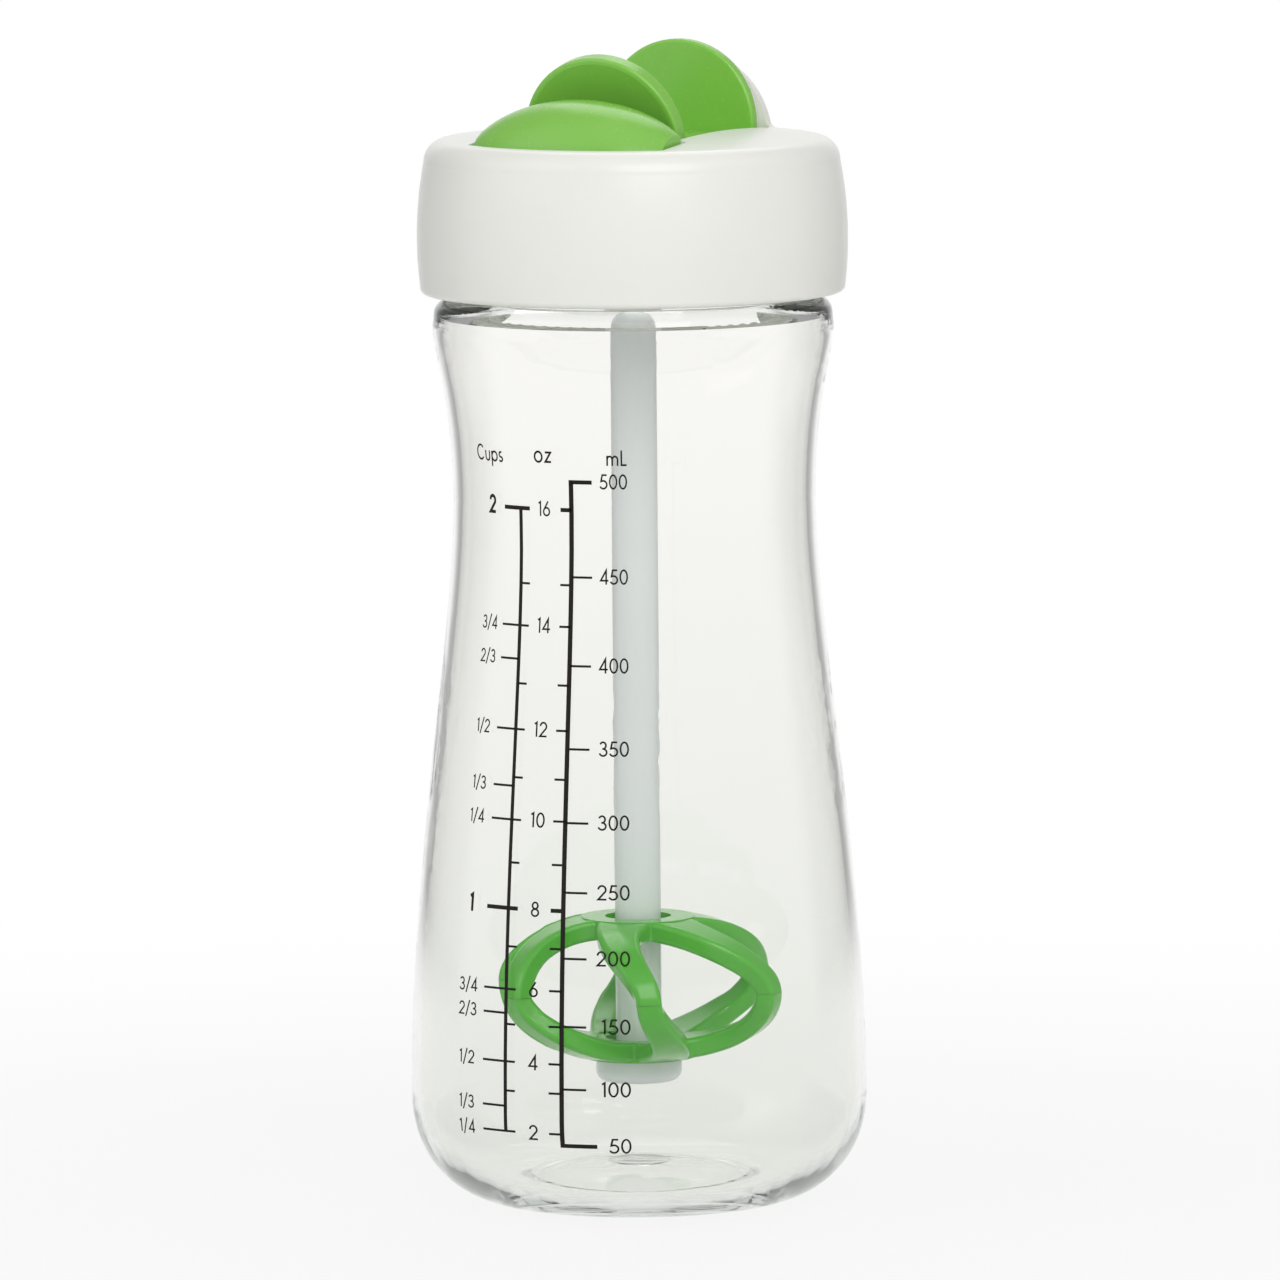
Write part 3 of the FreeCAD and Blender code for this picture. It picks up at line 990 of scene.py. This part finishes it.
    def label(self, mark: Label) -> bpy.types.Object:
        """Prints one label.

        Args:
            mark: The label's text, height, column, weight and alignment.

        Returns:
            The label on the bottle.
        """
        turn = self.turn(mark.column, mark.height)
        radius = self.bottle.radius(mark.height * MILLIMETRE, turn) / MILLIMETRE
        stretch = radius / self.reference_radius
        letters = []
        pen = 0.0
        for letter in mark.text:
            source = self.glyph(letter, mark.weight)
            copy = source.copy()
            copy.data = source.data.copy()
            bpy.context.scene.collection.objects.link(copy)
            copy.location = (pen, -0.5, 0.0)
            letters.append(copy)
            pen += CHARACTERS[letter].width + self.letter_gap
        width = pen - self.letter_gap
        pick(*letters)
        bpy.ops.object.transform_apply(location=True, rotation=False, scale=False)
        if len(letters) > 1:
            bpy.ops.object.join()
        drawn = letters[0]
        drawn.location = (-width if mark.align is Align.RIGHT else -width / 2, 0.0, 0.0)
        settle(drawn)
        size = mark.cap_height * MILLIMETRE
        drawn.scale = (size * stretch, size, 1.0)
        settle(drawn)
        self.place(drawn, turn, mark.height)
        self.lay_on(drawn)
        return drawn

    def gather(self, name: str, pieces: list[bpy.types.Object]) -> bpy.types.Object:
        """Joins printed marks into one named piece on the bottle.

        Args:
            name: The piece's name.
            pieces: The marks to join.

        Returns:
            The finished piece.
        """
        pick(*pieces)
        bpy.ops.object.join()
        joined = pieces[0]
        joined.name = name
        joined.data.materials.clear()
        joined.data.materials.append(self.ink)
        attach(joined, Body.BOTTLE.value)
        log.info("printed %s with %d faces", name, len(joined.data.polygons))
        return joined

    def ml_ticks(self) -> list[Tick]:
        """Lists the millilitre ticks.

        Returns:
            One tick for each printed volume.
        """
        ticks = []
        for volume, height in self.ML.items():
            end = self.ml_foot_end if volume == self.FOOT_VOLUME else self.ml_end
            weight = Weight.BOLD if volume in self.END_VOLUMES else Weight.PLAIN
            ticks.append(Tick(height, self.line_column, end, weight))
        return ticks

    def oz_ticks(self) -> list[Tick]:
        """Lists the ounce ticks on the millilitre line.

        Returns:
            One tick for each ounce.
        """
        ticks = []
        for volume, height in self.OZ.items():
            weight = Weight.BOLD if volume in self.WHOLE_OUNCES else Weight.PLAIN
            ticks.append(Tick(height, self.oz_end, self.line_column, weight))
        return ticks

    def cup_ticks(self) -> list[Tick]:
        """Lists the cup ticks and the short ounce ticks on the cup line.

        Returns:
            The cup ticks, then a tick for each odd ounce.
        """
        ticks = []
        for text, height in self.CUPS:
            end = self.cup_line if text in self.THIRDS else self.cup_right
            weight = Weight.BOLD if text in self.WHOLE_CUPS else Weight.PLAIN
            ticks.append(Tick(height, self.cup_left, end, weight))
        for volume, height in self.OZ.items():
            if volume % 2:
                ticks.append(Tick(height, self.cup_line, self.cup_right))
        return ticks

    def cup_labels(self) -> list[Label]:
        """Lists the cup numbers, whole cups larger and bolder than their parts.

        Returns:
            One label for each cup tick.
        """
        labels = []
        for text, height in self.CUPS:
            whole = text in self.WHOLE_CUPS
            labels.append(
                Label(
                    text,
                    height + (self.whole_cup_rise if whole else self.part_cup_rise),
                    self.cup_number,
                    Weight.BOLD if whole else Weight.PLAIN,
                    cap_height=self.whole_cup_height if whole else self.part_cup_height,
                )
            )
        return labels

    def build(self) -> None:
        """Prints the lines, ticks, numbers and headings."""
        half = self.bold_tick_width / 2
        low, high = self.low - half, self.high + half
        self.gather(
            "scale_ml_line",
            [self.line("line", self.line_column, low, high, self.line_width)]
            + [self.tick(mark) for mark in self.ml_ticks()],
        )
        self.gather("scale_oz_ticks", [self.tick(mark) for mark in self.oz_ticks()])
        self.gather(
            "scale_cup_line",
            [
                self.line(
                    "line",
                    self.cup_line,
                    self.CUPS[-1][1] - self.tick_width / 2,
                    self.CUPS[0][1],
                    self.thin_line_width,
                )
            ]
            + [self.tick(mark) for mark in self.cup_ticks()],
        )
        self.gather(
            "scale_ml_numbers",
            [
                self.label(
                    Label(
                        str(volume),
                        height + self.ml_number_rise,
                        self.ml_number,
                        align=Align.RIGHT,
                    )
                )
                for volume, height in self.ML.items()
            ],
        )
        self.gather(
            "scale_oz_numbers",
            [
                self.label(Label(str(volume), height + self.oz_number_rise, self.oz_number))
                for volume, height in self.OZ.items()
                if volume % 2 == 0
            ],
        )
        self.gather("scale_cup_numbers", [self.label(mark) for mark in self.cup_labels()])
        self.gather("scale_headings", [self.label(mark) for mark in self.HEADINGS])
        for drawn in self.glyphs.values():
            bpy.data.objects.remove(drawn)


@dataclass(frozen=True)
class Lamp:
    """A soft lamp aimed at the object."""

    name: str
    turn: float
    rise: float
    distance: float
    size: float
    power: float

    def build(self, aim: Vector) -> None:
        """Hangs the lamp.

        Args:
            aim: The point it shines at.
        """
        light = bpy.data.lights.new(self.name, "AREA")
        light.shape = "SQUARE"
        light.size = self.size
        light.energy = self.power
        holder = bpy.data.objects.new(self.name, light)
        flat = math.cos(math.radians(self.rise))
        way = Vector(
            (
                flat * math.cos(math.radians(self.turn)),
                flat * math.sin(math.radians(self.turn)),
                math.sin(math.radians(self.rise)),
            )
        )
        holder.location = aim + way * self.distance
        holder.rotation_euler = way.to_track_quat("Z", "Y").to_euler()
        bpy.context.scene.collection.objects.link(holder)


@dataclass(frozen=True)
class BackdropRays:
    """Which rays see the plain background, and its strength for them."""

    share: bpy.types.NodeSocket
    strength: bpy.types.NodeSocket


@dataclass
class Studio:
    """Pale floor, soft light and the camera."""

    floor_radius: float = 9.0
    floor_sides: int = 96
    floor_drop: float = 0.00002
    floor_light: Colour = (0.86, 0.86, 0.86, 1.0)
    floor_dark: Colour = (0.84, 0.84, 0.84, 1.0)
    floor_cloud_scale: float = 3.0
    near_white_share: float = 0.80
    near_radius: float = 0.06
    far_radius: float = 0.40
    ambient: float = 0.50
    # painted reflection: how grey the two flags painted into the background are for glossy and
    # transmission rays
    flag_shade: float = 0.42
    flag_start: tuple[float, float] = (13.0, 30.0)
    flag_end: tuple[float, float] = (68.0, 84.0)
    flag_near: float = 0.25
    flag_far: float = 0.75
    aim_height: float = 0.09875
    aim_side: float = 0.00075
    azimuth: float = -64.0
    elevation: float = 6.3
    distance: float = 2.44
    roll: float = -0.467
    lens: float = 391.5
    sensor: float = 36.0
    sight: float = 40.0
    bounces: int = 64
    lamps: tuple[Lamp, ...] = (
        Lamp("key", 220.0, 36.0, 1.2, 0.8, 5.7),
        Lamp("fill", 140.0, 30.0, 1.3, 0.9, 1.6),
        Lamp("rim", 20.0, 55.0, 1.2, 0.7, 1.8),
    )

    def backdrop_rays(self, sheet: NodeSheet, way: bpy.types.NodeSocket) -> BackdropRays:
        """Marks the rays that see the plain white background, and how white it is for them.

        Two grey flags are painted into the background to the left and right behind the object. Only
        glossy and transmission rays see them, so the clear wall shows thin dark edges as a painted
        reflection.

        Args:
            sheet: The sheet to draw in.
            way: The place or direction that a ray looks at.

        Returns:
            The share of the background and its strength.
        """
        path = sheet.add("ShaderNodeLightPath")
        camera = path.outputs["Is Camera Ray"]
        seen = sheet.add(
            "ShaderNodeMath", {0: camera, 1: path.outputs["Is Glossy Ray"]}, operation="MAXIMUM"
        )
        through = sheet.add(
            "ShaderNodeMath",
            {0: seen.outputs[0], 1: path.outputs["Is Transmission Ray"]},
            operation="MAXIMUM",
        )
        flat = sheet.add(
            "ShaderNodeVectorMath", {0: way, 1: (1.0, 1.0, 0.0)}, operation="MULTIPLY"
        )
        unit = sheet.add("ShaderNodeVectorMath", {0: flat.outputs[0]}, operation="NORMALIZE")
        turn = math.radians(self.azimuth)
        ahead = (-math.sin(turn), math.cos(turn), 0.0)
        facing = sheet.add(
            "ShaderNodeVectorMath", {0: unit.outputs[0], 1: ahead}, operation="DOT_PRODUCT"
        ).outputs["Value"]
        edges = []
        for white_angle, grey_angle in (self.flag_start, self.flag_end[::-1]):
            edges.append(
                sheet.add(
                    "ShaderNodeMapRange",
                    {
                        "Value": facing,
                        "From Min": math.cos(math.radians(grey_angle)),
                        "From Max": math.cos(math.radians(white_angle)),
                    },
                    interpolation_type="SMOOTHSTEP",
                ).outputs["Result"]
            )
        away = sheet.add("ShaderNodeVectorMath", {0: way}, operation="LENGTH")
        near = sheet.add(
            "ShaderNodeMapRange",
            {
                "Value": away.outputs["Value"],
                "From Min": self.flag_near,
                "From Max": self.flag_far,
                "To Min": 1.0,
                "To Max": 0.0,
            },
            interpolation_type="SMOOTHSTEP",
        )
        beside = sheet.add("ShaderNodeMath", {0: edges[0], 1: edges[1]}, operation="MAXIMUM")
        clear = sheet.add(
            "ShaderNodeMath", {0: beside.outputs[0], 1: near.outputs["Result"]}, operation="MAXIMUM"
        )
        open_view = sheet.add(
            "ShaderNodeMath", {0: clear.outputs[0], 1: camera}, operation="MAXIMUM"
        )
        # painted reflection: the background is made grey towards the flags for glossy and
        # transmission rays only
        strength = sheet.add(
            "ShaderNodeMapRange", {"Value": open_view.outputs[0], "To Min": self.flag_shade}
        )
        return BackdropRays(through.outputs[0], strength.outputs["Result"])

    def build_floor(self) -> None:
        """Lays the pale floor, which keeps a soft shadow."""
        bpy.ops.object.select_all(action="DESELECT")
        bpy.ops.mesh.primitive_circle_add(
            vertices=self.floor_sides,
            radius=self.floor_radius,
            fill_type="NGON",
            location=(0.0, 0.0, -self.floor_drop),
        )
        floor = bpy.context.object
        floor.name = "floor"
        settle(floor)
        material, sheet, output = fresh_material("floor_white")
        place = sheet.add("ShaderNodeTexCoord").outputs["Object"]
        grain = sheet.add(
            "ShaderNodeTexNoise",
            {"Vector": place, "Scale": self.floor_cloud_scale, "Detail": 2.0},
        )
        tone = sheet.add(
            "ShaderNodeMix",
            {0: grain.outputs["Fac"], 6: self.floor_light, 7: self.floor_dark},
            data_type="RGBA",
        )
        rays = self.backdrop_rays(sheet, place)
        paint = sheet.add("ShaderNodeBsdfDiffuse", {"Color": tone.outputs[2]})
        glow = sheet.add("ShaderNodeEmission", {"Strength": rays.strength})
        away = sheet.add("ShaderNodeVectorMath", {0: place}, operation="LENGTH")
        white = sheet.add(
            "ShaderNodeMapRange",
            {
                "Value": away.outputs["Value"],
                "From Min": self.near_radius,
                "From Max": self.far_radius,
                "To Min": self.near_white_share,
            },
            interpolation_type="SMOOTHSTEP",
        )
        share = sheet.add(
            "ShaderNodeMath", {0: rays.share, 1: white.outputs["Result"]}, operation="MULTIPLY"
        )
        mixed = sheet.add(
            "ShaderNodeMixShader",
            {0: share.outputs[0], 1: paint.outputs[0], 2: glow.outputs[0]},
        )
        sheet.join(mixed.outputs[0], output.inputs["Surface"])
        floor.data.materials.append(material)

    def build_world(self) -> None:
        """Sets the even light from all round."""
        world = bpy.data.worlds.new("studio")
        bpy.context.scene.world = world
        world.use_nodes = True
        world.node_tree.nodes.clear()
        sheet = NodeSheet(world.node_tree)
        rays = self.backdrop_rays(sheet, sheet.add("ShaderNodeTexCoord").outputs["Generated"])
        plain = (1.0, 1.0, 1.0, 1.0)
        white = sheet.add("ShaderNodeBackground", {"Color": plain, "Strength": rays.strength})
        even = sheet.add("ShaderNodeBackground", {"Color": plain, "Strength": self.ambient})
        mixed = sheet.add(
            "ShaderNodeMixShader",
            {0: rays.share, 1: even.outputs[0], 2: white.outputs[0]},
        )
        output = sheet.add("ShaderNodeOutputWorld")
        sheet.join(mixed.outputs[0], output.inputs["Surface"])

    def build_camera(self) -> None:
        """Sets the camera at the photograph's viewing angle."""
        turn, rise = math.radians(self.azimuth), math.radians(self.elevation)
        back = Vector(
            (math.sin(turn) * math.cos(rise), -math.cos(turn) * math.cos(rise), math.sin(rise))
        )
        right = Vector((math.cos(turn), math.sin(turn), 0.0))
        up = back.cross(right)
        aim = Vector((0.0, 0.0, self.aim_height)) + right * self.aim_side
        upright = Matrix((right, up, back)).transposed()
        tilt = upright @ Matrix.Rotation(math.radians(self.roll), 3, "Z")
        optics = bpy.data.cameras.new("camera")
        optics.sensor_width = self.sensor
        optics.lens = self.lens
        optics.clip_end = self.sight
        camera = bpy.data.objects.new("camera", optics)
        camera.matrix_world = Matrix.Translation(aim + back * self.distance) @ tilt.to_4x4()
        bpy.context.scene.collection.objects.link(camera)
        bpy.context.scene.camera = camera

    def build(self) -> None:
        """Sets up the whole studio, with bounces enough to light the clear wall's corners."""
        self.build_floor()
        self.build_world()
        for lamp in self.lamps:
            lamp.build(Vector((0.0, 0.0, self.aim_height)))
        self.build_camera()
        bpy.context.scene.view_settings.view_transform = "Standard"
        cycles = bpy.context.scene.cycles
        cycles.max_bounces = self.bounces
        cycles.glossy_bounces = self.bounces
        cycles.transmission_bounces = self.bounces


def main() -> None:
    """Builds the finishes, the assemblies, the print and the studio."""
    logging.basicConfig(level=logging.INFO, format="%(name)s: %(message)s")
    finishes = Finishes()
    bottle = BottleBody(finishes)
    bottle.dress()
    CapAssembly(finishes).dress()
    MixerAssembly(finishes).dress()
    PrintedScale(bottle, finishes.ink).build()
    Studio().build()


if __name__ == "__main__":
    main()
